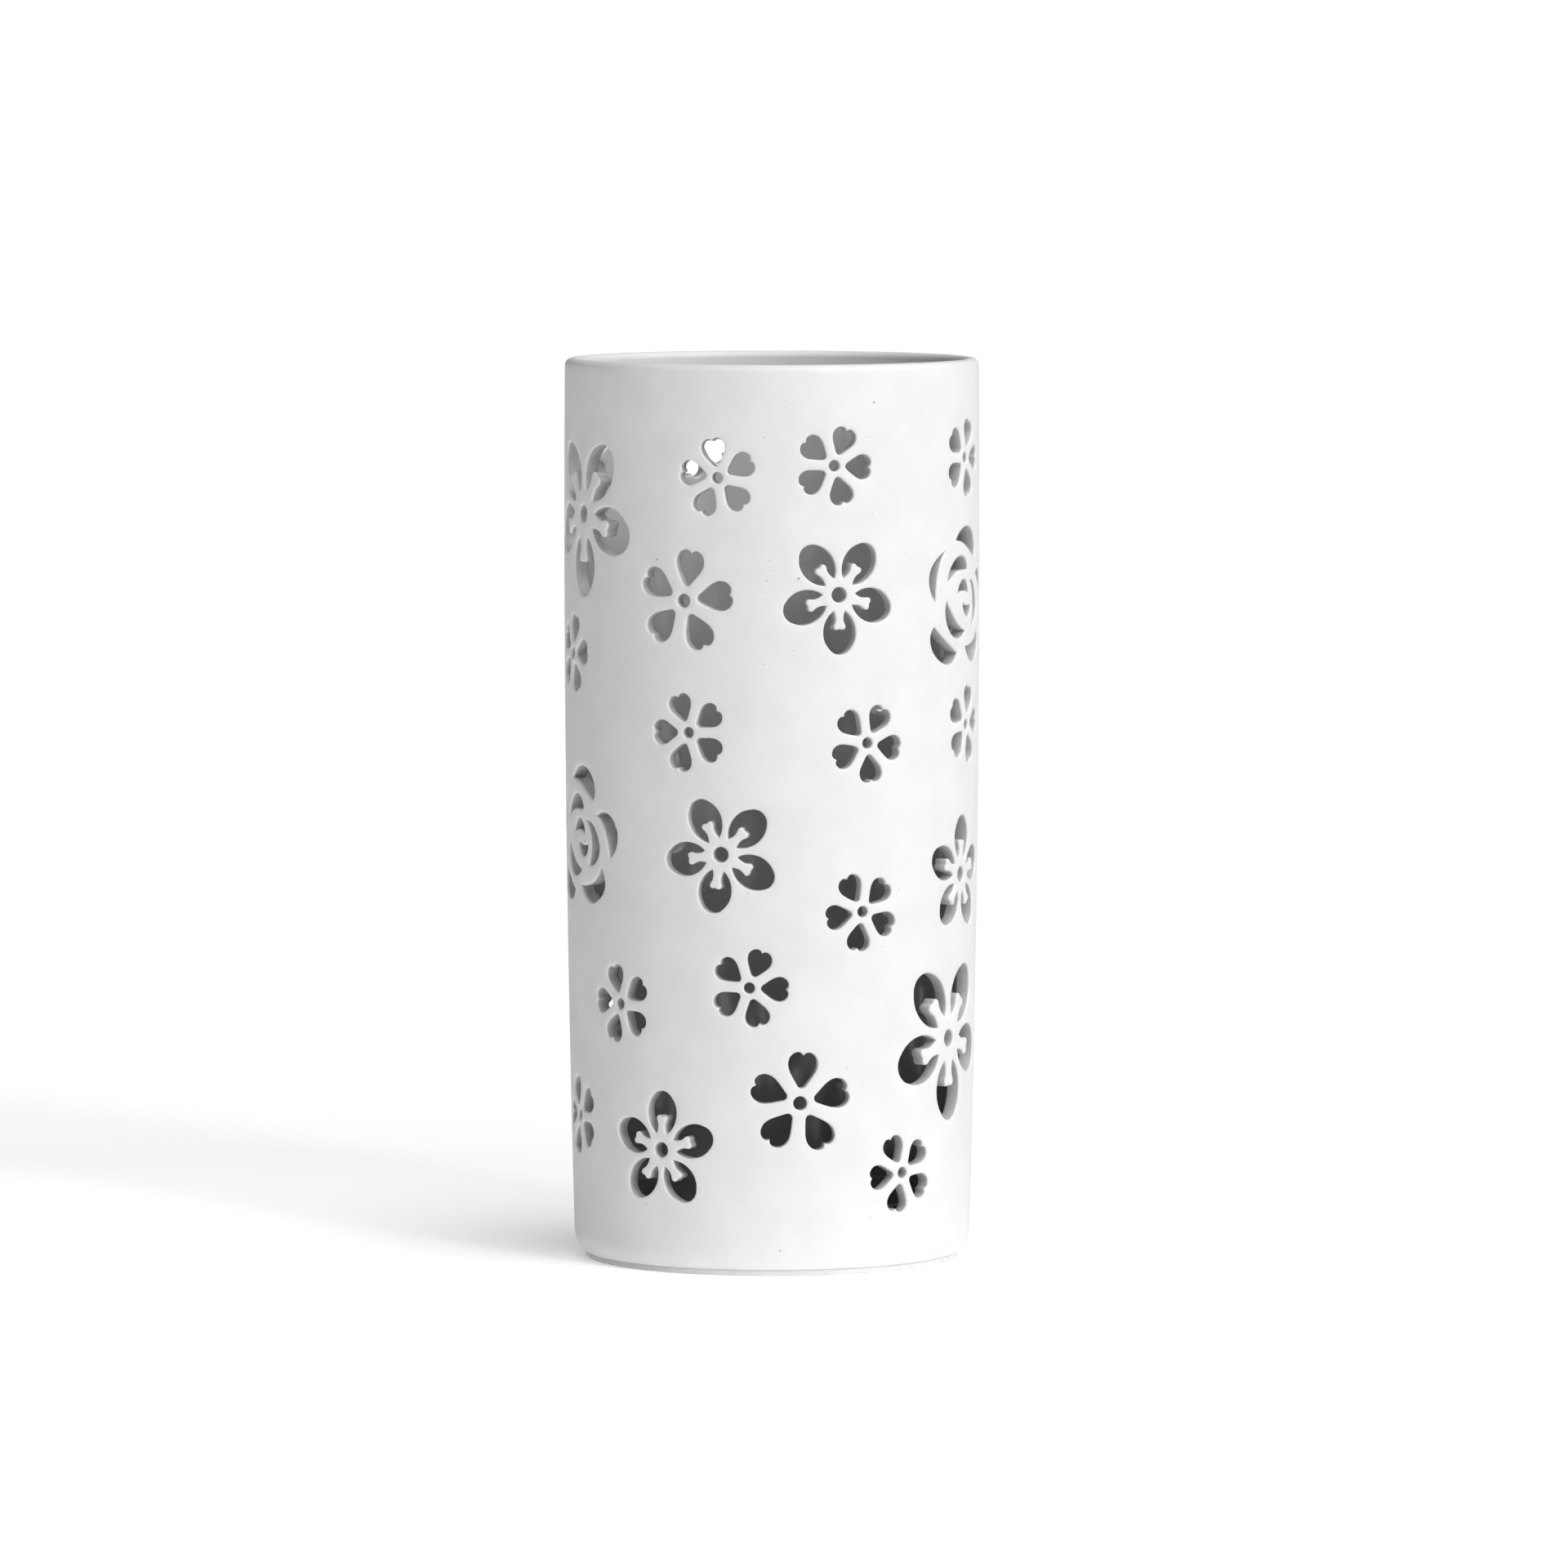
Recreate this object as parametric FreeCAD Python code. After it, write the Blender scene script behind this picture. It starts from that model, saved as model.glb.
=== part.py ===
import FreeCAD, Part
import math
import os

# Umbrella stand: a slip-cast porcelain cylinder pierced with flowers, on a thin pad, with a
# loose drip tray inside. Millimetres, +Z up. The origin is on the floor, on the stand's axis,
# and the side that faces -Y is the front.

# ---- whole stand ----
TOTAL_HEIGHT = 450.0        # floor to the crest of the rim
FOOT_RADIUS = 99.1          # outside, just above the bottom shoulder
MIDDLE_RADIUS = 103.1       # outside, half way up the side
MOUTH_RADIUS = 103.4        # outside, just below the rim

# ---- porcelain body ----
WALL = 7.6                  # side wall
FLOOR = 9.0                 # the body's own floor
RIM_OUTER_ROUND = 3.8       # rounding of the rim's outer edge
RIM_INNER_ROUND = 3.2       # rounding of the rim's inner edge
RIM_FLAT = 0.6              # least width of the flat between those two roundings
SHOULDER_RADIUS = 15.0      # rounding from the side to the underside
SHOULDER_TURN = 48.0        # degrees of that rounding before the flat underside
INNER_CORNER = 10.0         # rounding between the inside wall and the floor

# ---- pad under the body ----
PAD_THICKNESS = 3.0
PAD_INSET = 0.6             # the pad's edge stands this far inside the body's underside
PAD_EDGE = 0.7              # rounding of the pad's edges

# ---- drip tray ----
TRAY_HEIGHT = 20.0
TRAY_WALL = 2.0
TRAY_BASE_GAP = 1.5         # between the tray's base and the rounding round the floor
TRAY_LIP_GAP = 3.5          # between the tray's lip and the inside wall
TRAY_LIP_WIDTH = 3.0        # how far the lip turns out from the tray's wall
TRAY_LIP_DEPTH = 3.0
TRAY_BASE_ROUND = 4.0       # rounding between the tray's base and its wall, outside
TRAY_LIP_ROUND = 1.0        # rounding of the lip's edges
RIB_COUNT = 6               # ribs on the tray's base that keep umbrella tips out of the water
RIB_WIDTH = 3.0
RIB_HEIGHT = 3.0
RIB_HUB_RADIUS = 16.0       # the ribs start this far from the middle
RIB_END_GAP = 6.0           # and stop this far from the tray's wall

# ---- pierced flowers ----
PETALS = 5
CUT_MARGIN = 12.0           # how far the piercing tools run past the wall on each side
DRAWN_HEIGHT = 450.0        # the flowers are drawn full size for a stand of this height
DRAWN_RADIUS = 99.1         # whose narrowest radius is this, and smaller for a smaller stand
BLOSSOMS = {
    # heart-shaped petals: where they start and end from the middle, width, depth of the notch
    "small": {"inner": 5.8, "outer": 19.5, "width": 12.4, "notch": 1.3, "eye": 2.8},
    "medium": {"inner": 7.3, "outer": 25.3, "width": 14.8, "notch": 1.6, "eye": 3.5},
}
STAMENS = {
    # oval petals round a tongue: the tongue's length is from the middle, too
    "stamen": {"inner": 8.0, "outer": 29.5, "width": 16.8, "tongue": 17.2, "tip": 6.2, "eye": 3.9},
    "large": {"inner": 11.0, "outer": 41.0, "width": 23.4, "tongue": 24.0, "tip": 8.4, "eye": 4.4},
}

# Each flower: its kind, its angle round the stand from the front, its height as a share of
# the stand's height, and the turn of its first petal up from level.
FLOWERS = (
    # the front
    ("small", -15.0, 0.877, 27.0),
    ("small", 17.3, 0.890, -3.0),
    ("small", 67.8, 0.893, -2.0),
    ("large", -64.6, 0.832, 54.0),
    ("medium", -24.8, 0.742, 8.0),
    ("stamen", 18.7, 0.749, 55.0),
    ("rose", 67.9, 0.742, 0.0),
    ("small", -73.0, 0.677, 4.0),
    ("small", -23.5, 0.598, 36.5),
    ("small", 27.2, 0.586, 61.5),
    ("small", 69.1, 0.598, 5.0),
    ("rose", -67.6, 0.478, 0.0),
    ("stamen", -14.2, 0.465, 44.0),
    ("small", 26.0, 0.401, 45.5),
    ("stamen", 66.3, 0.433, 15.0),
    ("small", -47.7, 0.295, 33.0),
    ("small", -6.3, 0.319, -2.5),
    ("medium", 8.0, 0.192, 14.0),
    ("stamen", -33.2, 0.137, 16.0),
    ("large", 60.3, 0.253, 57.0),
    ("small", 40.4, 0.110, 42.0),
    ("small", -72.2, 0.164, 34.0),
    # the back
    ("stamen", 117.0, 0.855, 25.0),
    ("small", 203.5, 0.902, 63.0),
    ("small", 250.0, 0.890, 10.0),
    ("small", 132.0, 0.740, 20.0),
    ("small", 102.0, 0.705, 48.0),
    ("small", 233.0, 0.725, 40.0),
    ("small", 145.0, 0.635, 60.0),
    ("rose", 179.0, 0.620, 0.0),
    ("small", 220.0, 0.635, 15.0),
    ("medium", 253.0, 0.630, 60.0),
    ("large", 116.0, 0.530, 30.0),
    ("large", 228.0, 0.490, 65.0),
    ("stamen", 166.0, 0.460, 35.0),
    ("small", 104.0, 0.365, 70.0),
    ("small", 133.0, 0.370, 12.0),
    ("small", 212.0, 0.340, 55.0),
    ("rose", 250.0, 0.325, 0.0),
    ("stamen", 154.0, 0.240, 66.0),
    ("small", 105.0, 0.230, 50.0),
    ("medium", 208.0, 0.220, 40.0),
    ("stamen", 247.0, 0.130, 5.0),
    ("small", 105.0, 0.120, 33.0),
)

# The rose is ten crescents. Each is the points along its back, from tip to tip, and the
# points along its belly on the way back, right and up from the rose's middle.
ROSE = (
    (((-11.0, 27.3), (-4.6, 32.3), (3.6, 33.9), (12.4, 30.2), (16.2, 23.0), (14.6, 17.4)),
     ((5.2, 22.6), (-2.8, 26.1))),
    (((-21.6, 22.4), (-28.8, 18.6), (-33.4, 13.6), (-34.7, 8.2), (-33.2, 2.4), (-29.4, -2.8)),
     ((-29.2, 4.4), (-27.0, 13.8))),
    (((-30.6, -14.8), (-33.7, -20.0), (-31.8, -26.6), (-25.8, -31.8), (-18.4, -33.9),
      (-9.4, -28.6)),
     ((-17.8, -23.8), (-26.2, -18.2))),
    (((0.2, -25.8), (5.0, -31.4), (12.6, -33.9), (20.4, -30.6), (24.4, -25.4), (24.0, -20.0),
      (21.4, -15.2)),
     ((16.4, -21.8), (9.4, -24.9))),
    (((17.9, 9.9), (24.6, 12.0), (31.0, 9.2), (34.7, 3.0), (34.2, -4.4), (29.2, -10.6)),
     ((26.6, -2.0), (23.2, 5.2))),
    (((-19.2, 6.8), (-16.6, 13.4), (-11.4, 17.8), (-5.0, 19.6), (0.8, 17.8), (3.8, 12.6)),
     ((-2.4, 12.3), (-9.4, 11.8), (-15.4, 9.0))),
    (((7.2, 7.0), (13.8, 5.0), (18.6, -0.8), (20.2, -6.6), (17.4, -12.4), (9.6, -15.2)),
     ((11.8, -8.0), (11.0, 1.0))),
    (((-20.0, -2.2), (-21.2, -8.6), (-18.4, -15.8), (-12.0, -20.8), (-5.0, -21.0), (0.4, -18.0)),
     ((-6.6, -15.2), (-14.0, -9.4))),
    (((-9.2, 0.0), (-6.6, 5.2), (-1.2, 7.8), (3.4, 5.2), (5.0, 0.4)),
     ((-0.6, 2.0),)),
    (((8.8, -4.8), (7.6, -9.0), (3.4, -11.3), (-1.0, -8.8), (-3.0, -3.8)),
     ((2.6, -5.6),)),
)

AXIS = FreeCAD.Vector(0, 0, 1)
CENTRE = FreeCAD.Vector(0, 0, 0)


# ---- heights and radii that follow from the sizes above ----
UNDERSIDE = PAD_THICKNESS
INSIDE_FLOOR = UNDERSIDE + FLOOR
SHOULDER_TOP = UNDERSIDE + SHOULDER_RADIUS * math.sin(math.radians(SHOULDER_TURN))
UNDERSIDE_RADIUS = FOOT_RADIUS - SHOULDER_RADIUS * (1 - math.cos(math.radians(SHOULDER_TURN)))
RIM_SHARE = min(1.0, (WALL - RIM_FLAT) / (RIM_OUTER_ROUND + RIM_INNER_ROUND))
RIM_OUTER = RIM_OUTER_ROUND * RIM_SHARE     # a thin wall has smaller roundings at its rim
RIM_INNER = RIM_INNER_ROUND * RIM_SHARE
SIDE_TOP = TOTAL_HEIGHT - RIM_OUTER
FLOWER_SCALE = min(
    1.0,
    TOTAL_HEIGHT / DRAWN_HEIGHT,
    min(FOOT_RADIUS, MIDDLE_RADIUS, MOUTH_RADIUS) / DRAWN_RADIUS,
)


def point(radius, height):
    """A point of a profile that is turned about the stand's axis."""
    return FreeCAD.Vector(radius, 0, height)


def side_radius(height):
    """Outside radius of the body's side at a height, on a parabola through its three radii."""
    share = (height - SHOULDER_TOP) / (SIDE_TOP - SHOULDER_TOP)
    straight = FOOT_RADIUS + share * (MOUTH_RADIUS - FOOT_RADIUS)
    swell = MIDDLE_RADIUS - (FOOT_RADIUS + MOUTH_RADIUS) / 2
    return straight + 4 * swell * share * (1 - share)


def side_arc(low, high, inset):
    """The side's line between two heights, moved towards the axis by inset."""
    middle = (low + high) / 2
    start = side_radius(low) - inset
    end = side_radius(high) - inset
    pull = 2 * (side_radius(middle) - inset) - (start + end) / 2
    curve = Part.BezierCurve()
    curve.setPoles([point(start, low), point(pull, middle), point(end, high)])
    return curve.toShape()


def corner_arc(centre, radius, start, end):
    """An arc of a profile, between two angles in degrees up from level."""
    angles = (start, (start + end) / 2, end)
    return Part.Arc(*[
        centre + point(radius * math.cos(math.radians(a)), radius * math.sin(math.radians(a)))
        for a in angles
    ]).toShape()


def joined(edges):
    """One closed wire from profile edges, with straight lines where they leave a gap."""
    chain = []
    for edge, following in zip(edges, edges[1:] + edges[:1]):
        chain.append(edge)
        end = edge.Vertexes[-1].Point
        start = following.Vertexes[0].Point
        if end.distanceToPoint(start) > 1e-6:
            chain.append(Part.LineSegment(end, start).toShape())
    return Part.Wire(chain)


def turned(edges):
    """The solid made by turning a closed profile about the stand's axis."""
    return Part.Face(joined(edges)).revolve(CENTRE, AXIS, 360)


# ---- flower outlines, in their own flat frame: right and up from the flower's middle ----
def petal_frame(points, turn):
    """Petal points, given as (outwards, across), placed at a turn round the flower."""
    c = math.cos(math.radians(turn))
    s = math.sin(math.radians(turn))
    return [(out * c - across * s, out * s + across * c) for out, across in points]


def mirrored(curve):
    """A curve's other half, across the petal's own line, run the other way."""
    return [(out, -across) for out, across in reversed(curve)]


def blossom_outlines(size, turn):
    """Heart-shaped petals: a rounded point, full sides and a notch at the outer end."""
    inner = size["inner"]
    length = size["outer"] - inner
    width = size["width"]
    side = [
        (size["outer"] - size["notch"], 0.0),
        (size["outer"], 0.20 * width),
        (inner + 0.91 * length, 0.40 * width),
        (inner + 0.68 * length, 0.50 * width),
        (inner + 0.36 * length, 0.37 * width),
        (inner + 0.07 * length, 0.14 * width),
    ]
    tip = [side[-1], (inner, 0.0), mirrored(side)[0]]
    for k in range(PETALS):
        at = turn + k * 360 / PETALS
        yield [petal_frame(curve, at) for curve in (side, tip, mirrored(side))]


def stamen_outlines(size, turn):
    """Oval petals, each cut round a tongue with two lobes, out from the flower's middle."""
    inner = size["inner"]
    length = size["outer"] - inner
    width = size["width"]
    tongue = size["tongue"] - inner
    tip = size["tip"]
    prong = 0.48 * tip
    oval = [
        (inner, prong),
        (inner + 0.22 * length, 0.42 * width),
        (inner + 0.55 * length, 0.50 * width),
        (inner + 0.85 * length, 0.34 * width),
    ]
    crown = [oval[-1], (size["outer"], 0.0), mirrored(oval)[0]]
    flank = [
        (inner, -prong),
        (inner + 0.22 * tongue, -0.36 * tip),
        (inner + 0.60 * tongue, -0.38 * tip),
        (inner + 0.85 * tongue, -0.50 * tip),
        (inner + 0.98 * tongue, -0.38 * tip),
        (inner + tongue, -0.18 * tip),
        (inner + 0.95 * tongue, 0.0),
    ]
    outline = (oval, crown, mirrored(oval), flank, mirrored(flank))
    for k in range(PETALS):
        at = turn + k * 360 / PETALS
        yield [petal_frame(curve, at) for curve in outline]


def rose_outlines():
    """Crescents, each a back and a belly that meet in two tips."""
    for back, belly in ROSE:
        yield [list(back), [back[-1], *belly, back[0]]]


def flower_outlines(kind, turn):
    """The petal outlines of one flower, each a list of curves given by their points."""
    if kind in BLOSSOMS:
        return blossom_outlines(BLOSSOMS[kind], turn)
    if kind in STAMENS:
        return stamen_outlines(STAMENS[kind], turn)
    return rose_outlines()


def smooth(points):
    """A smooth curve through points: an arc through three, and a spline through more."""
    if len(points) == 3:
        return Part.Arc(*points).toShape()
    curve = Part.BSplineCurve()
    curve.interpolate(points)
    return curve.toShape()


# ---- piercing tools ----
def tool_start():
    """Distance from the axis to the inner end of every piercing tool."""
    return min(FOOT_RADIUS, MIDDLE_RADIUS, MOUTH_RADIUS) - WALL - CUT_MARGIN


def tool_length():
    """Length of every piercing tool."""
    return max(FOOT_RADIUS, MIDDLE_RADIUS, MOUTH_RADIUS) + CUT_MARGIN - tool_start()


def petal_tool(drawn, angle, height):
    """A straight tool with a petal's section, pushed towards the axis at the petal itself."""
    curves = [
        [(right * FLOWER_SCALE, up * FLOWER_SCALE) for right, up in curve] for curve in drawn
    ]
    points = [p for curve in curves for p in curve]
    middle = sum(right for right, up in points) / len(points)
    edges = [
        smooth([FreeCAD.Vector(right - middle, -tool_start(), height + up) for right, up in curve])
        for curve in curves
    ]
    tool = Part.Face(Part.Wire(edges)).extrude(FreeCAD.Vector(0, -tool_length(), 0))
    tool.rotate(CENTRE, AXIS, angle + math.degrees(middle / side_radius(height)))
    return tool


def eye_tool(radius, angle, height):
    """The round tool that pierces a flower's middle."""
    start = FreeCAD.Vector(0, -tool_start(), height)
    tool = Part.makeCylinder(radius, tool_length(), start, FreeCAD.Vector(0, -1, 0))
    tool.rotate(CENTRE, AXIS, angle)
    return tool


def flower_tools(kind, angle, height, turn):
    """All the tools that pierce one flower."""
    tools = [petal_tool(curves, angle, height) for curves in flower_outlines(kind, turn)]
    size = BLOSSOMS.get(kind) or STAMENS.get(kind)
    if size:
        tools.append(eye_tool(size["eye"] * FLOWER_SCALE, angle, height))
    return tools


# ---- the pieces ----
def pierced_body():
    """The porcelain shell, pierced all round."""
    rim_outer = point(side_radius(SIDE_TOP) - RIM_OUTER, SIDE_TOP)
    inner_top = TOTAL_HEIGHT - RIM_INNER
    rim_inner = point(side_radius(inner_top) - WALL + RIM_INNER, inner_top)
    corner_top = INSIDE_FLOOR + INNER_CORNER
    inner_corner = point(side_radius(corner_top) - WALL - INNER_CORNER, corner_top)
    shoulder = point(FOOT_RADIUS - SHOULDER_RADIUS, SHOULDER_TOP)
    body = turned([
        Part.LineSegment(point(0, UNDERSIDE), point(UNDERSIDE_RADIUS, UNDERSIDE)).toShape(),
        corner_arc(shoulder, SHOULDER_RADIUS, -SHOULDER_TURN, 0),
        side_arc(SHOULDER_TOP, SIDE_TOP, 0),
        corner_arc(rim_outer, RIM_OUTER, 0, 90),
        corner_arc(rim_inner, RIM_INNER, 90, 180),
        side_arc(inner_top, corner_top, WALL),
        corner_arc(inner_corner, INNER_CORNER, 0, -90),
        Part.LineSegment(point(inner_corner.x, INSIDE_FLOOR), point(0, INSIDE_FLOOR)).toShape(),
    ])
    tools = []
    for kind, angle, share, turn in FLOWERS:
        tools += flower_tools(kind, angle, share * TOTAL_HEIGHT, turn)
    return body.cut(tools)


def base_pad():
    """The thin round pad stuck under the body."""
    pad = Part.makeCylinder(UNDERSIDE_RADIUS - PAD_INSET, PAD_THICKNESS)
    rims = [edge for edge in pad.Edges if isinstance(edge.Curve, Part.Circle)]
    return pad.makeFillet(PAD_EDGE, rims)


def rings_through(shape, corners):
    """The circular edges of a turned shape that start at the given corners of its profile."""
    return [
        edge for edge in shape.Edges
        if any(edge.Vertexes[0].Point.distanceToPoint(corner) < 1e-6 for corner in corners)
        and isinstance(edge.Curve, Part.Circle)
    ]


def drip_tray():
    """The loose tray on the body's floor."""
    floor_edge = side_radius(INSIDE_FLOOR + INNER_CORNER) - WALL - INNER_CORNER
    base = floor_edge - TRAY_BASE_GAP
    top = INSIDE_FLOOR + TRAY_HEIGHT
    lip = side_radius(top) - WALL - TRAY_LIP_GAP
    wall_top = lip - TRAY_LIP_WIDTH
    lip_bottom = top - TRAY_LIP_DEPTH
    base_outside = point(base, INSIDE_FLOOR)
    base_inside = point(base - TRAY_WALL, INSIDE_FLOOR + TRAY_WALL)
    lip_edges = [point(lip, lip_bottom), point(lip, top), point(wall_top - TRAY_WALL, top)]
    corners = [
        point(0, INSIDE_FLOOR),
        base_outside,
        point(wall_top, lip_bottom),
        *lip_edges,
        base_inside,
        point(0, INSIDE_FLOOR + TRAY_WALL),
    ]
    tray = Part.Face(Part.makePolygon(corners + corners[:1])).revolve(CENTRE, AXIS, 360)
    tray = tray.makeFillet(TRAY_BASE_ROUND, rings_through(tray, [base_outside]))
    tray = tray.makeFillet(TRAY_BASE_ROUND - TRAY_WALL, rings_through(tray, [base_inside]))
    tray = tray.makeFillet(TRAY_LIP_ROUND, rings_through(tray, lip_edges))
    for k in range(RIB_COUNT):
        length = base - TRAY_WALL - RIB_END_GAP - RIB_HUB_RADIUS
        rib = Part.makeBox(length, RIB_WIDTH, TRAY_WALL / 2 + RIB_HEIGHT)
        rib.translate(FreeCAD.Vector(RIB_HUB_RADIUS, -RIB_WIDTH / 2, INSIDE_FLOOR + TRAY_WALL / 2))
        rib.rotate(CENTRE, AXIS, k * 360 / RIB_COUNT)
        tray = tray.fuse(rib)
    return tray.removeSplitter()


def main():
    os.makedirs("parts", exist_ok=True)
    pieces = {"pierced_body": pierced_body(), "base_pad": base_pad(), "drip_tray": drip_tray()}
    for name, shape in pieces.items():
        solids = shape.Solids
        if len(solids) != 1 or not shape.isValid():
            raise RuntimeError(name + " is not one valid solid")
        solids[0].exportStep(os.path.join("parts", name + ".step"))
        print(name, round(solids[0].Volume / 1000, 1), "cm3")


main()
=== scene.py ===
import math

import bpy
import numpy as np
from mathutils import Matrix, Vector
from mathutils.geometry import delaunay_2d_cdt


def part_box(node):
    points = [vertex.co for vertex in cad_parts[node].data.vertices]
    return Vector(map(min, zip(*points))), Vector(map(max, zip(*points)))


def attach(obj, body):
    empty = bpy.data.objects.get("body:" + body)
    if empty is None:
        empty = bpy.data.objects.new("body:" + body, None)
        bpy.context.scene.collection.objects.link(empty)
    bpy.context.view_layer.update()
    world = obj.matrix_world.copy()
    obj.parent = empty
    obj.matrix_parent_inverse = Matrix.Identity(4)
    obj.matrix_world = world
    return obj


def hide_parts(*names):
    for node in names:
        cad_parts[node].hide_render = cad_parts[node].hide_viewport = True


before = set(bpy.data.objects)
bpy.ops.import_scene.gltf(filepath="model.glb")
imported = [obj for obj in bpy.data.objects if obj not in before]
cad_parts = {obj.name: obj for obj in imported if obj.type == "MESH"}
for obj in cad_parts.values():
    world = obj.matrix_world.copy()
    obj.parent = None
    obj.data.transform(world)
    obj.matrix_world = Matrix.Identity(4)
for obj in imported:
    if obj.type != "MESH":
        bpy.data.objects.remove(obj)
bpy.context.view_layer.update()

# The looks of a pierced porcelain umbrella stand, in metres, in the CAD's frame: +Z up and the
# front towards -Y. The holes' outlines are read from the CAD body's mesh, and the body is made
# again round them as a fine mesh whose holes have softly rounded edges.
MM = 0.001

# ---- sizes that the CAD body has as well ----
RIM_OUTER_ROUND = 3.8 * MM
RIM_INNER_ROUND = 3.2 * MM
SHOULDER_RADIUS = 15.0 * MM
SHOULDER_TURN = 48          # degrees
INNER_CORNER = 10.0 * MM
FLOOR = 9.0 * MM
PAD_EDGE = 0.7 * MM

# ---- the mesh of the body ----
LIP = 0.9 * MM              # rounding of the holes' edges
LIP_MARGIN = 0.35 * MM      # kept clear round the rounding
GRID_CLEARANCE = 1.3 * MM   # least distance from a hole's rounding to a plain grid point
COLUMNS = 144
ROW_HEIGHT = 4.6 * MM
SPACING = 1.9 * MM          # longest step along a hole's outline
ON_WALL = 0.03 * MM         # how close to the wall's curve a CAD point on it lies
RING_KEPT = 0.93            # ring points nearer another hole than this share are left out
TURN_STEP = 19              # degrees that an outline turns in one step
FAN_STEP = 35               # degrees between ring points round an outline's sharp corner
ROUND_STEPS = 6             # steps of the roundings at the rim, shoulder and inner corner

# ---- studio ----
FLOOR_GREY = 0.99
FLOOR_GLOW_NEAR = 0.42      # light that the floor gives by itself, at FLOOR_GLOW_AT
FLOOR_GLOW_FAR = 0.15       # and everywhere beyond its reach
FLOOR_GLOW_REACH = 0.45     # how far out that light falls off, in metres
FLOOR_GLOW_AT = (-0.25, 0.0, 0.0)   # to the left of the stand
FLOOR_REACH = 400.0
KEY_SIDE = (0.437, -0.395, 0.808)   # towards the middle of the brightest light
KEY_EDGE = 0.63             # the cosine at which that light ends
KEY = 3.0
FILL = 0.015
SUN_SIDE = (1.0, -1.35, 0.85)       # towards a lower, weaker light
SUN = 0.42
SUN_WIDTH = 7               # degrees

# ---- camera ----
CAMERA_AT = (0.006, -5.4, 0.645)
CAMERA_TARGET = (0.006, 0, 0.2366)
LENS = 248.4                # millimetres
SENSOR = 36                 # millimetres

# ---- colours ----
# The inside is painted darker than bare porcelain: painted shade, for the shade in a deep vessel.
# A low colour turns to the middle one over INSIDE_RISE, and to the high one over INSIDE_RIM, by height.
INSIDE_LOW = (0.25, 0.25, 0.255)
INSIDE_MIDDLE = (0.47, 0.47, 0.475)
INSIDE_HIGH = (0.78, 0.78, 0.78)
INSIDE_RISE = (60 * MM, 360 * MM)
INSIDE_RIM = (405 * MM, 435 * MM)
# The holes' sides are greyer than the porcelain: painted shade in the holes.
CUT_SHADED_COLOR = (0.56, 0.56, 0.56)

OUTER, INNER, CUT = 0, 1, 2      # faces of the wall, and their materials
# degrees round a hole's rounded edge where it has a ring of points, in each face
LIP_ANGLES = {OUTER: (30, 60, 90), INNER: (45, 90)}

low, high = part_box("pierced_body")
underside = low[2]
side_bottom = underside + SHOULDER_RADIUS * math.sin(math.radians(SHOULDER_TURN))
side_top = high[2] - RIM_OUTER_ROUND
inside_bottom = underside + FLOOR + INNER_CORNER
inside_top = high[2] - RIM_INNER_ROUND


# ---- reading the wall from the CAD body ----
def cad_mesh(node):
    """A CAD node's points, joined where they meet, its triangles and how far each faces out."""
    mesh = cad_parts[node].data
    points = np.zeros(len(mesh.vertices) * 3)
    mesh.vertices.foreach_get("co", points)
    corners = np.zeros(len(mesh.polygons) * 3, int)
    mesh.polygons.foreach_get("vertices", corners)
    points, where = np.unique(points.reshape(-1, 3).round(6), axis=0, return_inverse=True)
    triangles = where.ravel()[corners].reshape(-1, 3)
    a, b, c = (points[triangles[:, k]] for k in range(3))
    normals = np.cross(b - a, c - a)
    outwards = (a + b + c) * (1, 1, 0)
    sizes = np.linalg.norm(normals, axis=1) * np.linalg.norm(outwards, axis=1)
    facing = (normals * outwards).sum(1) / np.maximum(sizes, 1e-15)
    return points, triangles, facing


def fitted_radius(points, low_z, high_z):
    """The parabola of radius over height that most of the points lie on."""
    heights = points[:, 2]
    radii = np.hypot(points[:, 0], points[:, 1])
    near = (heights > low_z) & (heights < high_z)
    for tolerance in (1.0 * MM, 0.1 * MM, 0.02 * MM):
        curve = np.polyfit(heights[near], radii[near], 2)
        near &= np.abs(radii - np.polyval(curve, heights)) < tolerance
    return curve


def boundary_loops(triangles):
    """The closed loops of points round a sheet of triangles."""
    edges = {}
    for a, b, c in triangles.tolist():
        for edge in ((a, b), (b, c), (c, a)):
            if edge[::-1] in edges:
                del edges[edge[::-1]]
            else:
                edges[edge] = True
    following = dict(edges.keys())
    loops = []
    while following:
        start, point = following.popitem()
        loop = [start]
        while point != start and point in following:
            loop.append(point)
            point = following.pop(point)
        if point == start:
            loops.append(loop)
    return loops


def wall_holes(points, triangles, facing, curve, sign):
    """Each hole's outline in one face of the wall, as angles and heights, anticlockwise."""
    radii = np.hypot(points[:, 0], points[:, 1])
    on_wall = np.abs(radii - np.polyval(curve, points[:, 2])) < ON_WALL
    sheet = triangles[on_wall[triangles].all(1) & (facing * sign > 0.5)]
    for loop in boundary_loops(sheet):
        x, y, z = points[loop[::-sign]].T
        angles = np.unwrap(np.arctan2(x, -y))
        if abs(angles[-1] - angles[0]) < 1:
            yield np.column_stack([angles, z])


def middle(outline):
    """The centre of area of a closed outline."""
    start = outline - outline[0]
    end = np.roll(start, -1, axis=0)
    doubled = start[:, 0] * end[:, 1] - end[:, 0] * start[:, 1]
    return outline[0] + ((start + end) * doubled[:, None]).sum(0) / (3 * doubled.sum())


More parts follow.
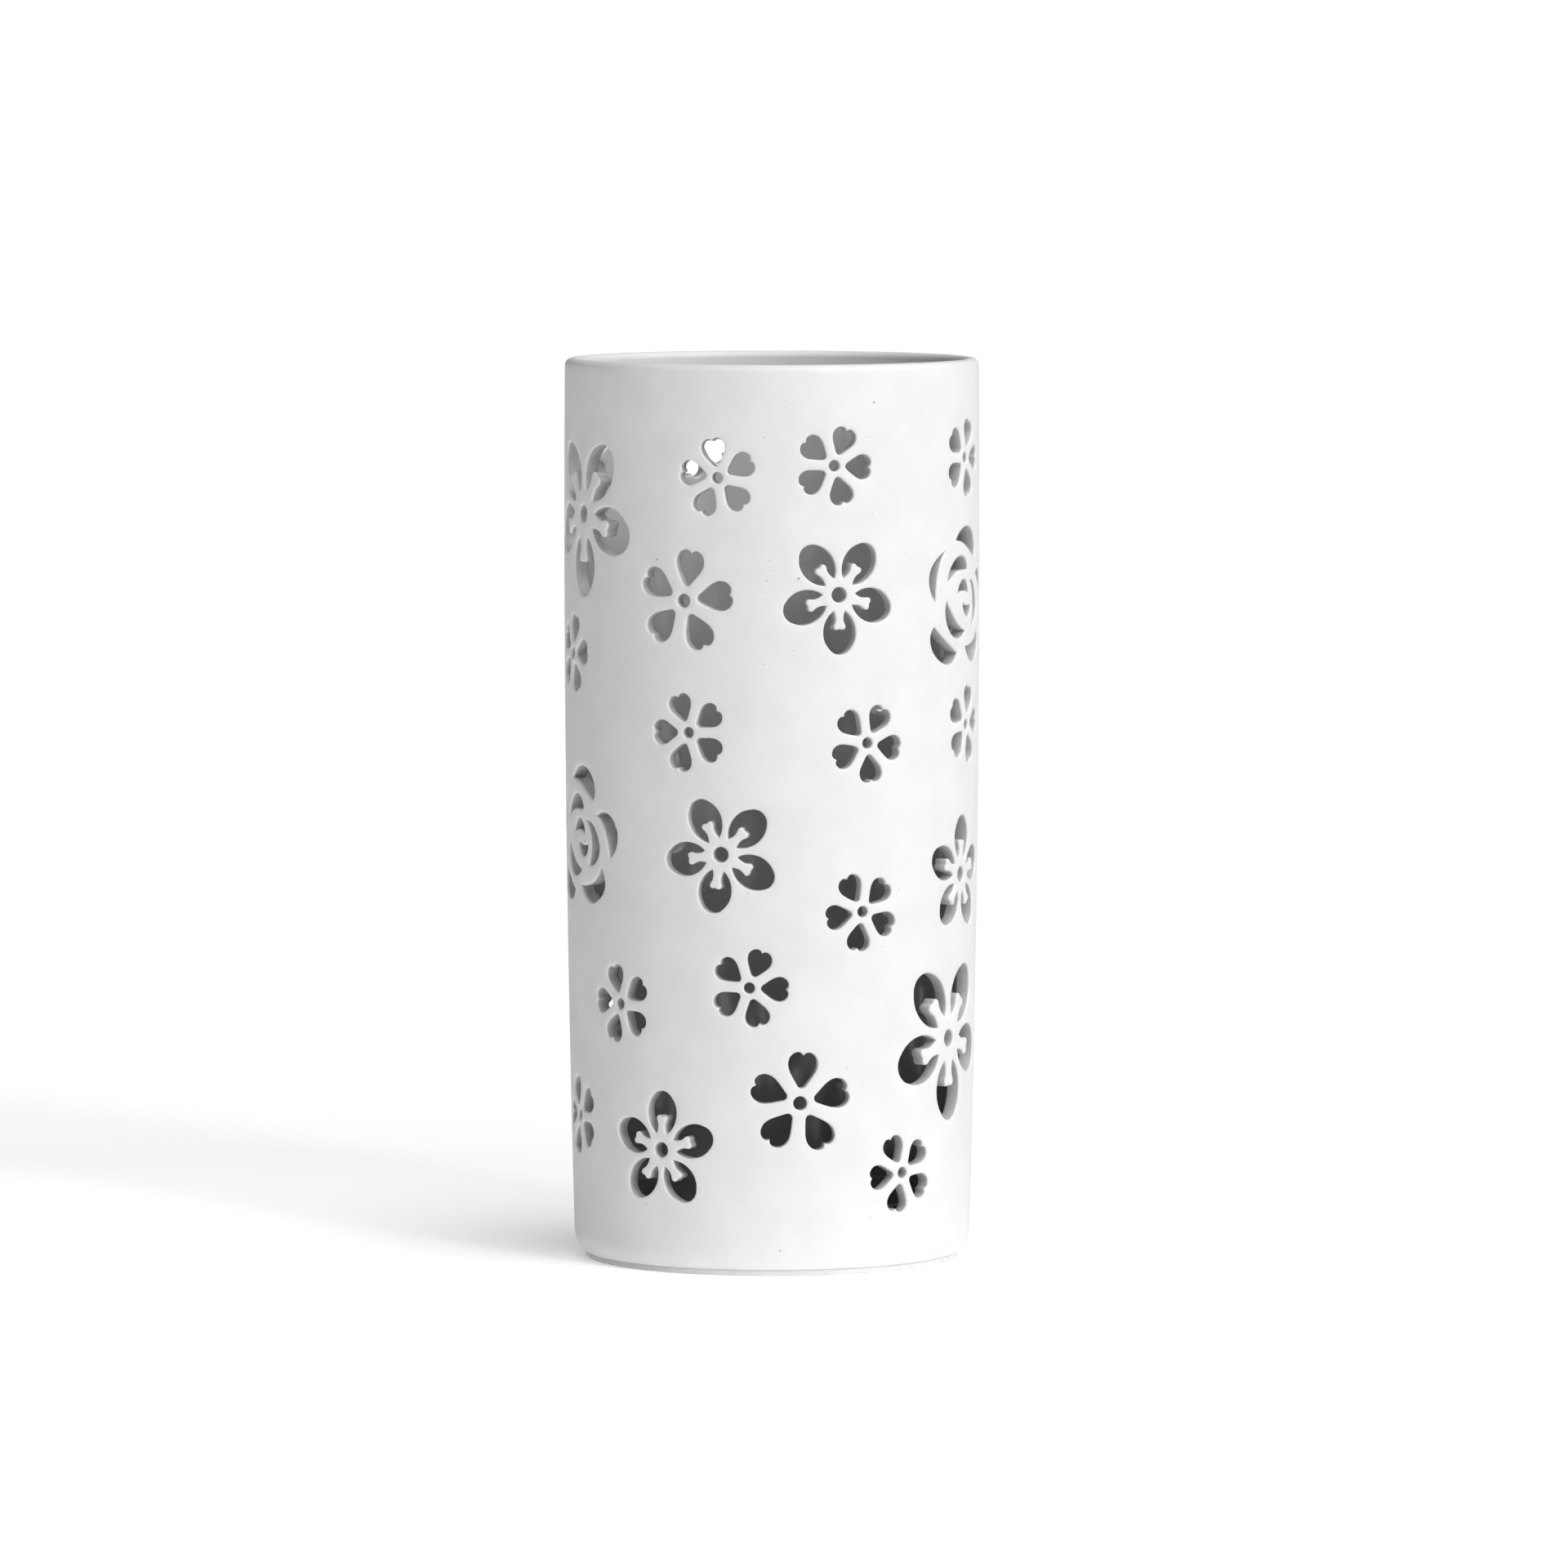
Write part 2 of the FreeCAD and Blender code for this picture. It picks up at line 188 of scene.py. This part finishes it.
def thinned(outline, radius):
    """An outline with fewer points: close together where it turns, and its corners kept."""
    flat = outline * (radius, 1)
    steps = np.roll(flat, -1, axis=0) - flat
    lengths = np.hypot(*steps.T)
    headings = np.degrees(np.arctan2(steps[:, 1], steps[:, 0]))
    turns = np.abs((headings - np.roll(headings, 1) + 180) % 360 - 180)
    first = int(np.argmax(turns))
    kept = [first]
    length = turn = 0
    for k in range(first + 1, first + len(outline)):
        at = k % len(outline)
        length += lengths[at - 1]
        turn += turns[at]
        if length + lengths[at] > SPACING or turn > TURN_STEP:
            kept.append(at)
            length = turn = 0
    return outline[kept]


def nearest_turn(angle, reference):
    """The same direction as angle, less than half a turn from reference."""
    return reference + (angle - reference + math.pi) % (2 * math.pi) - math.pi


def read_holes():
    """Every hole as a pair of outlines, in the outer and the inner face of the wall."""
    points, triangles, facing = cad_mesh("pierced_body")
    outer_face = points[np.unique(triangles[facing > 0.95])]
    inner_face = points[np.unique(triangles[facing < -0.95])]
    outer = fitted_radius(outer_face, side_bottom, side_top)
    inner = fitted_radius(inner_face, inside_bottom, inside_top)
    inner_middles = [middle(hole) for hole in wall_holes(points, triangles, facing, inner, -1)]
    holes = []
    for outline in wall_holes(points, triangles, facing, outer, 1):
        at, height = middle(outline)
        outer_radius = np.polyval(outer, height)
        inner_radius = np.polyval(inner, height)
        offsets = [
            (nearest_turn(angle, at) - at, z - height) for angle, z in inner_middles
        ]
        turn, _ = min(offsets, key=lambda gap: math.hypot(gap[0] * inner_radius, gap[1]))
        # the hole runs straight in, along this direction, at its own middle
        along = at - turn * inner_radius / (outer_radius - inner_radius)
        outline = thinned(outline, outer_radius)
        across = np.polyval(outer, outline[:, 1]) * np.sin(outline[:, 0] - along)
        angles = along + np.arcsin(across / np.polyval(inner, outline[:, 1]))
        holes.append((outline, np.column_stack([angles, outline[:, 1]])))
    return (outer, inner), holes


# ---- flat geometry, on the unrolled wall ----
def distances(points, outlines):
    """The distance from each point to the nearest of the closed outlines."""
    nearest = np.full(len(points), np.inf)
    for outline in outlines:
        steps = np.roll(outline, -1, axis=0) - outline
        offsets = points[:, None] - outline[None]
        shares = (offsets * steps).sum(2) / (steps * steps).sum(1)
        offsets -= np.clip(shares, 0, 1)[..., None] * steps
        nearest = np.minimum(nearest, np.hypot(offsets[..., 0], offsets[..., 1]).min(1))
    return nearest


def inside(points, outlines):
    """Whether each point lies in one of the closed outlines."""
    found = np.zeros(len(points), bool)
    x, y = points[:, :1], points[:, 1:]
    for outline in outlines:
        x0, y0 = outline.T
        x1, y1 = np.roll(outline, -1, axis=0).T
        level = np.where(y0 == y1, 1, y1 - y0)
        crossing = ((y0 > y) != (y1 > y)) & (x < x0 + (y - y0) * (x1 - x0) / level)
        found |= crossing.sum(1) % 2 == 1
    return found


def offset_ring(outline, distance):
    """Points at a distance outside an anticlockwise outline, fanned round its corners."""
    steps = np.roll(outline, -1, axis=0) - outline
    headings = np.arctan2(steps[:, 1], steps[:, 0])
    ring = []
    for point, before, after in zip(outline, np.roll(headings, 1), headings):
        turn = (after - before + math.pi) % (2 * math.pi) - math.pi
        fan = max(0, int(math.degrees(turn) // FAN_STEP))
        shares = np.linspace(0, 1, fan + 1) if fan else (0.5,)
        for share in shares:
            heading = before + share * turn
            ring.append(point + distance * np.array([math.sin(heading), -math.cos(heading)]))
    return np.array(ring)


def rounding(gap):
    """How deep a rounded edge lies under the surface, at a distance from the hole."""
    left = np.clip(LIP - gap, 0, LIP)
    return LIP - np.sqrt(LIP * LIP - left * left)


# ---- mesh building ----
class Shell:
    """Vertices and faces of the body, added sheet by sheet."""

    def __init__(self):
        self.points = []
        self.faces = []
        self.materials = []

    def add_point(self, angle, radius, height):
        self.points.append((radius * math.sin(angle), -radius * math.cos(angle), height))
        return len(self.points) - 1

    def add_ring(self, radius, height):
        """A level ring of points, one for each column."""
        return [
            self.add_point(2 * math.pi * column / COLUMNS, radius, height)
            for column in range(COLUMNS)
        ]

    def add_face(self, corners, material):
        self.faces.append(corners)
        self.materials.append(material)

    def add_band(self, ring, following, material):
        """Faces between two rings of the profile, which runs from underside to inside floor."""
        for k in range(COLUMNS):
            after = (k + 1) % COLUMNS
            self.add_face((ring[k], ring[after], following[after], following[k]), material)

    def add_bands(self, rings, material):
        for ring, following in zip(rings, rings[1:]):
            self.add_band(ring, following, material)

    def add_disc(self, ring, height, material, faces_down):
        """Faces from a ring to a point on the axis."""
        centre = self.add_point(0, 0, height)
        for k in range(COLUMNS):
            after = (k + 1) % COLUMNS
            corners = (ring[after], ring[k], centre) if faces_down else (ring[k], ring[after], centre)
            self.add_face(corners, material)

    def arc_rings(self, radius, height, size, start, end, skip=()):
        """Rings along an arc of the profile, given its centre and its angles in degrees."""
        rings = []
        for k in range(ROUND_STEPS + 1):
            if k in skip:
                continue
            angle = math.radians(start + (end - start) * k / ROUND_STEPS)
            rings.append(self.add_ring(
                radius + size * math.cos(angle), height + size * math.sin(angle)
            ))
        return rings

    def build(self, name, materials):
        mesh = bpy.data.meshes.new(name)
        mesh.from_pydata(self.points, [], self.faces)
        for material in materials:
            mesh.materials.append(material)
        mesh.polygons.foreach_set("material_index", self.materials)
        mesh.polygons.foreach_set("use_smooth", [True] * len(self.faces))
        mesh.update()
        piece = bpy.data.objects.new(name, mesh)
        bpy.context.scene.collection.objects.link(piece)
        return piece


class WallSide:
    """One face of the pierced wall: a plain grid, and a finer mesh where the holes are."""

    def __init__(self, shell, curve, side, bottom, top, outlines):
        self.shell = shell
        self.curve = curve
        self.side = side
        self.outlines = outlines
        self.rows = max(1, round((top - bottom) / ROW_HEIGHT))
        self.heights = np.linspace(bottom, top, self.rows + 1)
        self.scale = float(np.polyval(curve, (bottom + top) / 2))
        self.grid = [shell.add_ring(np.polyval(curve, z), z) for z in self.heights]
        self.hole_rings = [
            [self.add_point(angle, height, LIP) for angle, height in outline]
            for outline in outlines
        ]

    def add_point(self, angle, height, depth):
        """A point at a depth inside the wall's porcelain, from this face."""
        inwards = depth if self.side == OUTER else -depth
        return self.shell.add_point(angle, np.polyval(self.curve, height) - inwards, height)

    def add_face(self, corners):
        if self.side == INNER:
            corners = corners[::-1]
        self.shell.add_face(tuple(corners), self.side)

    def flat(self, outline, reference):
        """Angles and heights laid flat, with lengths true, about a reference angle."""
        return (outline - (reference, 0)) * (self.scale, 1)

    def cell_at(self, angle, height):
        """The column and row of the grid cell that holds a place."""
        column = int(math.floor(angle / (2 * math.pi) * COLUMNS)) % COLUMNS
        spread = (height - self.heights[0]) / (self.heights[-1] - self.heights[0])
        return column, min(max(int(spread * self.rows), 0), self.rows - 1)

    def cells_of(self, outline):
        """The grid cells that a hole with its rounded edge touches."""
        reference = outline[0, 0]
        flat = self.flat(outline, reference)
        reach = offset_ring(flat, LIP + LIP_MARGIN)
        parts = np.linspace(0, 1, 6)[:-1, None, None]
        along = (reach + parts * (np.roll(reach, -1, axis=0) - reach)).reshape(-1, 2)
        cells = {self.cell_at(x / self.scale + reference, z) for x, z in along}
        step = 2 * math.pi / COLUMNS
        columns = {column for column, _ in cells}
        around = [c for c in range(COLUMNS) if c in columns]
        rows = [row for _, row in cells]
        for column in around:
            for row in range(min(rows), max(rows) + 1):
                if (column, row) in cells:
                    continue
                angle = nearest_turn((column + 0.5) * step, reference)
                centre = self.flat(
                    np.array([[angle, (self.heights[row] + self.heights[row + 1]) / 2]]),
                    reference,
                )
                if inside(centre, [flat])[0]:
                    cells.add((column, row))
        return cells

    def groups(self):
        """The holes in groups that share no grid cell, each with its cells."""
        groups = []
        for index, outline in enumerate(self.outlines):
            holes, cells = [index], self.cells_of(outline)
            apart = []
            for group in groups:
                if cells & group[1]:
                    holes += group[0]
                    cells |= group[1]
                else:
                    apart.append(group)
            groups = apart + [(holes, cells)]
        return groups

    def build(self):
        pierced = set()
        for holes, cells in self.groups():
            self.fill(holes, cells)
            pierced |= cells
        for row in range(self.rows):
            for column in range(COLUMNS):
                if (column, row) not in pierced:
                    after = (column + 1) % COLUMNS
                    below, above = self.grid[row], self.grid[row + 1]
                    self.add_face([below[column], below[after], above[after], above[column]])

    def fill(self, holes, cells):
        """Triangles over a group of cells, round the holes in them."""
        reference = float(self.outlines[holes[0]][0, 0])
        flats = []
        for index in holes:
            shift = nearest_turn(self.outlines[index][0, 0], reference) - self.outlines[index][0, 0]
            flats.append(self.flat(self.outlines[index] + (shift, 0), reference))

        sides = {}
        for column, row in cells:
            corners = [(column, row), (column + 1, row), (column + 1, row + 1), (column, row + 1)]
            corners = [(c % COLUMNS, r) for c, r in corners]
            for start, end in zip(corners, corners[1:] + corners[:1]):
                if (end, start) in sides:
                    sides[end, start] = False
                    sides[start, end] = False
                else:
                    sides[start, end] = True
        rim = [side for side, alone in sides.items() if alone]
        places = sorted({corner for side in sides for corner in side})
        on_rim = {corner for side in rim for corner in side}
        step = 2 * math.pi / COLUMNS
        grid_flat = self.flat(
            np.array([[nearest_turn(c * step, reference), self.heights[r]] for c, r in places]),
            reference,
        )
        clear = distances(grid_flat, flats) > LIP + GRID_CLEARANCE
        clear &= ~inside(grid_flat, flats)

        points, known, edges, number = [], [], [], {}
        for place, at, free in zip(places, grid_flat, clear):
            if free or place in on_rim:
                number[place] = len(points)
                points.append(at)
                known.append(self.grid[place[1]][place[0]])
        edges += [(number[start], number[end]) for start, end in rim]
        for index, flat in zip(holes, flats):
            first = len(points)
            points += list(flat)
            known += self.hole_rings[index]
            edges += [(first + k, first + (k + 1) % len(flat)) for k in range(len(flat))]
        for angle in LIP_ANGLES[self.side]:
            distance = LIP * (1 - math.cos(math.radians(angle)))
            for flat in flats:
                ring = offset_ring(flat, distance)
                keep = distances(ring, flats) > RING_KEPT * distance
                first = len(points)
                order = np.cumsum(keep) - 1
                points += list(ring[keep])
                known += [None] * int(keep.sum())
                for k in range(len(ring)):
                    after = (k + 1) % len(ring)
                    if keep[k] and keep[after]:
                        edges.append((first + int(order[k]), first + int(order[after])))

        scaled = [Vector((float(x) / MM, float(z) / MM)) for x, z in points]
        places_out, _, triangles, sources, _, _ = delaunay_2d_cdt(scaled, edges, [], 0, 1e-5)
        spots = np.array([tuple(place) for place in places_out]) * MM
        depths = rounding(distances(spots, flats))
        made = []
        for spot, depth, source in zip(spots, depths, sources):
            same = [known[k] for k in source if known[k] is not None]
            if same:
                made.append(same[0])
            else:
                made.append(self.add_point(spot[0] / self.scale + reference, spot[1], depth))
        corners = np.array(triangles)
        centres = spots[corners].mean(1)
        in_hole = inside(centres, flats)
        for triangle, centre, hidden in zip(corners, centres, in_hole):
            cell = self.cell_at(centre[0] / self.scale + reference, centre[1])
            if not hidden and cell in cells:
                self.add_face([made[k] for k in triangle])


def porcelain_shell(materials):
    """The pierced body: outer wall, rim, inner wall, floors and the sides of every hole."""
    curves, holes = read_holes()
    shell = Shell()
    outer = WallSide(shell, curves[OUTER], OUTER, side_bottom, side_top, [h[0] for h in holes])
    inner = WallSide(shell, curves[INNER], INNER, inside_bottom, inside_top, [h[1] for h in holes])
    outer.build()
    inner.build()
    for ring, behind in zip(outer.hole_rings, inner.hole_rings):
        for k in range(len(ring)):
            after = (k + 1) % len(ring)
            shell.add_face((ring[k], ring[after], behind[after], behind[k]), CUT)

    foot = np.polyval(curves[OUTER], side_bottom) - SHOULDER_RADIUS
    shoulder = shell.arc_rings(foot, side_bottom, SHOULDER_RADIUS, -SHOULDER_TURN, 0, (ROUND_STEPS,))
    flat_radius = foot + SHOULDER_RADIUS * math.cos(math.radians(SHOULDER_TURN))
    under = [shell.add_ring(flat_radius * share, underside) for share in (0.25, 0.5, 0.75)]
    shell.add_disc(under[0], underside, OUTER, True)
    shell.add_bands(under + shoulder + [outer.grid[0]], OUTER)

    crest = np.polyval(curves[OUTER], side_top) - RIM_OUTER_ROUND
    over = shell.arc_rings(crest, side_top, RIM_OUTER_ROUND, 0, 90, (0,))
    crest = np.polyval(curves[INNER], inside_top) + RIM_INNER_ROUND
    over += shell.arc_rings(crest, inside_top, RIM_INNER_ROUND, 90, 180, (ROUND_STEPS,))
    shell.add_bands([outer.grid[-1]] + over + [inner.grid[-1]], OUTER)

    corner = np.polyval(curves[INNER], inside_bottom) - INNER_CORNER
    down = shell.arc_rings(corner, inside_bottom, INNER_CORNER, 0, -90, (0,))
    down += [shell.add_ring(corner * share, underside + FLOOR) for share in (0.75, 0.5, 0.25)]
    shell.add_bands([inner.grid[0]] + down, INNER)
    shell.add_disc(down[-1], underside + FLOOR, INNER, False)
    return shell.build("porcelain_body", materials)


# ---- materials ----
MIX_FIRST, MIX_SECOND, MIX_RESULT = 6, 7, 2      # the colour sockets of a Mix node


class Material:
    """A procedural material, built from textures in the object's own coordinates."""

    def __init__(self, name, color, roughness):
        self.data = bpy.data.materials.new(name)
        self.data.use_nodes = True
        self.tree = self.data.node_tree
        self.shader = self.tree.nodes["Principled BSDF"]
        self.shader.inputs["Base Color"].default_value = (*color, 1)
        self.shader.inputs["Roughness"].default_value = roughness
        self.place = self.tree.nodes.new("ShaderNodeTexCoord").outputs["Object"]

    def link(self, output, target):
        self.tree.links.new(output, target)

    def noise(self, size, detail=2.0):
        """Cloudy values with spots about this large, in metres."""
        node = self.tree.nodes.new("ShaderNodeTexNoise")
        node.inputs["Scale"].default_value = 1 / size
        node.inputs["Detail"].default_value = detail
        self.link(self.place, node.inputs["Vector"])
        return node.outputs["Fac"]

    def specks(self, spacing, radius):
        """One in small specks and nought elsewhere, this far apart and this large."""
        node = self.tree.nodes.new("ShaderNodeTexVoronoi")
        node.inputs["Scale"].default_value = 1 / spacing
        self.link(self.place, node.inputs["Vector"])
        return self.ranged(node.outputs["Distance"], 0.6 * radius / spacing, radius / spacing, 1, 0)

    def height(self):
        """The height above the floor, in metres."""
        node = self.tree.nodes.new("ShaderNodeSeparateXYZ")
        self.link(self.place, node.inputs["Vector"])
        return node.outputs["Z"]

    def ranged(self, value, low, high, start, end):
        """A value moved from one range to another, and kept in it."""
        node = self.tree.nodes.new("ShaderNodeMapRange")
        for name, number in (
            ("From Min", low), ("From Max", high), ("To Min", start), ("To Max", end)
        ):
            node.inputs[name].default_value = number
        self.link(value, node.inputs["Value"])
        return node.outputs["Result"]

    def blended(self, share, first, second):
        """A colour between two others. Each may be a colour or another node's output."""
        node = self.tree.nodes.new("ShaderNodeMix")
        node.data_type = "RGBA"
        self.link(share, node.inputs["Factor"])
        for socket, color in ((node.inputs[MIX_FIRST], first), (node.inputs[MIX_SECOND], second)):
            if isinstance(color, tuple):
                socket.default_value = (*color, 1)
            else:
                self.link(color, socket)
        return node.outputs[MIX_RESULT]

    def bumps(self, *layers):
        """Bumps on the surface, each a texture and how deep it is, in metres."""
        normal = None
        for texture, depth in layers:
            node = self.tree.nodes.new("ShaderNodeBump")
            node.inputs["Distance"].default_value = depth
            self.link(texture, node.inputs["Height"])
            if normal:
                self.link(normal, node.inputs["Normal"])
            normal = node.outputs["Normal"]
        self.link(normal, self.shader.inputs["Normal"])


def bisque_outside():
    """Unglazed white porcelain: matt, faintly mottled, with a few dark specks."""
    look = Material("porcelain_outside", (0.78, 0.78, 0.775), 0.55)
    mottled = look.blended(
        look.ranged(look.noise(22 * MM, 5), 0.35, 0.65, 0, 1), (0.757, 0.758, 0.762), (0.797, 0.795, 0.789)
    )
    fine = look.blended(look.ranged(look.noise(2.2 * MM), 0.66, 0.8, 0, 0.4), mottled, (0.69, 0.69, 0.685))
    faint = look.blended(look.specks(11 * MM, 0.5 * MM), fine, (0.56, 0.55, 0.54))
    color = look.blended(look.specks(19 * MM, 0.6 * MM), faint, (0.24, 0.235, 0.23))
    look.link(color, look.shader.inputs["Base Color"])
    look.link(look.ranged(look.noise(9 * MM, 3), 0.3, 0.7, 0.48, 0.62), look.shader.inputs["Roughness"])
    look.bumps((look.noise(34 * MM), 0.4 * MM), (look.noise(1.1 * MM, 3), 0.025 * MM))
    return look.data


def glaze_with_painted_shade():
    """The glazed inside: smoother, with painted shade that greys it towards the floor."""
    look = Material("porcelain_inside", (0.7, 0.7, 0.7), 0.15)
    lower = look.blended(look.ranged(look.height(), *INSIDE_RISE, 0, 1), INSIDE_LOW, INSIDE_MIDDLE)
    color = look.blended(look.ranged(look.height(), *INSIDE_RIM, 0, 1), lower, INSIDE_HIGH)
    look.link(color, look.shader.inputs["Base Color"])
    look.link(look.ranged(look.noise(12 * MM, 3), 0.3, 0.7, 0.08, 0.2), look.shader.inputs["Roughness"])
    look.shader.inputs["Coat Weight"].default_value = 0.6
    look.shader.inputs["Coat Roughness"].default_value = 0.08
    look.bumps((look.noise(26 * MM), 0.4 * MM), (look.noise(4 * MM, 2), 0.03 * MM))
    return look.data


def cut_sides():
    """The sides of the holes: cut through the clay and sponged, so a little rough, and greyer as painted
    shade in the holes.
    """
    look = Material("porcelain_cut", CUT_SHADED_COLOR, 0.4)
    light = tuple(1.06 * part for part in CUT_SHADED_COLOR)
    dark = tuple(0.93 * part for part in CUT_SHADED_COLOR)
    color = look.blended(look.ranged(look.noise(6 * MM, 3), 0.35, 0.65, 0, 1), dark, light)
    look.link(color, look.shader.inputs["Base Color"])
    look.link(look.ranged(look.noise(5 * MM), 0.3, 0.7, 0.32, 0.5), look.shader.inputs["Roughness"])
    look.bumps((look.noise(3 * MM, 2), 0.08 * MM))
    return look.data


def pale_pad():
    """The pale pad: smooth soft plastic."""
    look = Material("pale_pad", (0.72, 0.73, 0.74), 0.3)
    color = look.blended(
        look.ranged(look.noise(14 * MM, 3), 0.3, 0.7, 0, 1), (0.70, 0.71, 0.72), (0.75, 0.76, 0.77)
    )
    look.link(color, look.shader.inputs["Base Color"])
    look.link(look.ranged(look.noise(6 * MM, 2), 0.3, 0.7, 0.24, 0.38), look.shader.inputs["Roughness"])
    look.bumps((look.noise(2 * MM), 0.03 * MM))
    return look.data


def dark_plastic():
    """The drip tray's moulded plastic: a fine even grain."""
    look = Material("dark_plastic", (0.11, 0.11, 0.115), 0.45)
    color = look.blended(
        look.ranged(look.noise(18 * MM, 4), 0.3, 0.7, 0, 1), (0.095, 0.096, 0.102), (0.125, 0.126, 0.133)
    )
    look.link(color, look.shader.inputs["Base Color"])
    look.link(look.ranged(look.noise(5 * MM, 3), 0.3, 0.7, 0.42, 0.58), look.shader.inputs["Roughness"])
    look.bumps((look.noise(0.7 * MM, 2), 0.05 * MM))
    return look.data


# ---- pieces ----
def round_pad(material):
    """The pad under the body: a disc with rounded edges."""
    pad_low, pad_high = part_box("base_pad")
    radius = pad_high[0] - PAD_EDGE
    shell = Shell()
    rings = [shell.add_ring(radius * share, pad_low[2]) for share in (0.35, 0.7)]
    rings += shell.arc_rings(radius, pad_low[2] + PAD_EDGE, PAD_EDGE, -90, 0)
    rings += shell.arc_rings(radius, pad_high[2] - PAD_EDGE, PAD_EDGE, 0, 90)
    rings += [shell.add_ring(radius * share, pad_high[2]) for share in (0.7, 0.35)]
    shell.add_disc(rings[0], pad_low[2], 0, True)
    shell.add_bands(rings, 0)
    shell.add_disc(rings[-1], pad_high[2], 0, False)
    return shell.build("round_pad", [material])


body = porcelain_shell([bisque_outside(), glaze_with_painted_shade(), cut_sides()])
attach(body, "stand")
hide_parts("pierced_body")

pad = round_pad(pale_pad())
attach(pad, "stand")
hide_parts("base_pad")

tray_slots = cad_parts["drip_tray"].data.materials
tray_plastic = dark_plastic()
for k in range(len(tray_slots)):
    tray_slots[k] = tray_plastic


# ---- studio ----
def studio_floor():
    """A pale floor to the horizon that gives some light itself, most of it left of the stand."""
    paper = Material("studio_paper", (FLOOR_GREY, FLOOR_GREY, FLOOR_GREY), 1.0)
    paper.shader.inputs["Specular IOR Level"].default_value = 0
    paper.shader.inputs["Emission Color"].default_value = (1, 1, 1, 1)
    away = paper.tree.nodes.new("ShaderNodeVectorMath")
    away.operation = "DISTANCE"
    away.inputs[1].default_value = FLOOR_GLOW_AT
    paper.link(paper.place, away.inputs[0])
    glow = paper.ranged(
        away.outputs["Value"], 0, FLOOR_GLOW_REACH, FLOOR_GLOW_NEAR, FLOOR_GLOW_FAR
    )
    paper.link(glow, paper.shader.inputs["Emission Strength"])
    mesh = bpy.data.meshes.new("studio_floor")
    corners = [(-1, -1), (1, -1), (1, 1), (-1, 1)]
    mesh.from_pydata([(x * FLOOR_REACH, y * FLOOR_REACH, 0) for x, y in corners], [], [(0, 1, 2, 3)])
    mesh.materials.append(paper.data)
    floor = bpy.data.objects.new("studio_floor", mesh)
    bpy.context.scene.collection.objects.link(floor)


def studio_light():
    """Soft light from all round, with a broad bright side at the upper right of the front."""
    world = bpy.data.worlds.new("studio")
    world.use_nodes = True
    nodes, links = world.node_tree.nodes, world.node_tree.links
    where = nodes.new("ShaderNodeTexCoord")
    towards = nodes.new("ShaderNodeVectorMath")
    towards.operation = "DOT_PRODUCT"
    towards.inputs[1].default_value = Vector(KEY_SIDE).normalized()
    spread = nodes.new("ShaderNodeMapRange")
    spread.interpolation_type = "SMOOTHSTEP"
    spread.inputs["From Min"].default_value = KEY_EDGE
    spread.inputs["From Max"].default_value = 1.0
    spread.inputs["To Min"].default_value = FILL
    spread.inputs["To Max"].default_value = KEY
    links.new(where.outputs["Generated"], towards.inputs[0])
    links.new(towards.outputs["Value"], spread.inputs["Value"])
    links.new(spread.outputs["Result"], nodes["Background"].inputs["Strength"])
    nodes["Background"].inputs["Color"].default_value = (1, 1, 1, 1)
    bpy.context.scene.world = world


def aimed(thing, place, target):
    thing.location = place
    thing.rotation_euler = (Vector(target) - Vector(place)).to_track_quat("-Z", "Y").to_euler()


def low_sun():
    """A weak, lower light from the front right."""
    light = bpy.data.lights.new("low_sun", "SUN")
    light.energy = SUN
    light.angle = math.radians(SUN_WIDTH)
    sun = bpy.data.objects.new("low_sun", light)
    bpy.context.scene.collection.objects.link(sun)
    aimed(sun, SUN_SIDE, (0, 0, 0))


def product_camera():
    lens = bpy.data.cameras.new("camera")
    lens.sensor_width = SENSOR
    lens.lens = LENS
    camera = bpy.data.objects.new("camera", lens)
    bpy.context.scene.collection.objects.link(camera)
    aimed(camera, CAMERA_AT, CAMERA_TARGET)
    bpy.context.scene.camera = camera


studio_floor()
studio_light()
low_sun()
product_camera()
bpy.context.scene.view_settings.view_transform = "Standard"
